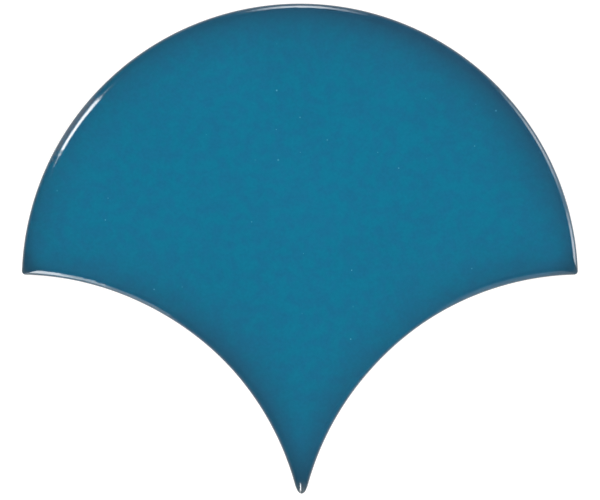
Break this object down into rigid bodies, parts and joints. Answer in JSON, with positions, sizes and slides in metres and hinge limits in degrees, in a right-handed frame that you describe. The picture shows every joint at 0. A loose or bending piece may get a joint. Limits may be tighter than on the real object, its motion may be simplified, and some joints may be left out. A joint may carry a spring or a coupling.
{
  "type": "fish scale tile",
  "caption": "Fan-shaped ceramic wall tile with a round crown, hollow lower sides that take its neighbours' crowns, a glossy blue glazed face and a ribbed back.",
  "frame": {"origin": "centre of the round crown, on the plane of the back", "axes": "+X across the tile from corner to corner, +Y up the wall to the top of the crown, +Z out of the glazed face"},
  "size_m": [0.1198, 0.1057, 0.009],
  "materials": {
    "glaze": "glossy"
  },
  "bodies": {
    "root": {"fish_scale_tile": "glaze"}
  },
  "joints": []
}
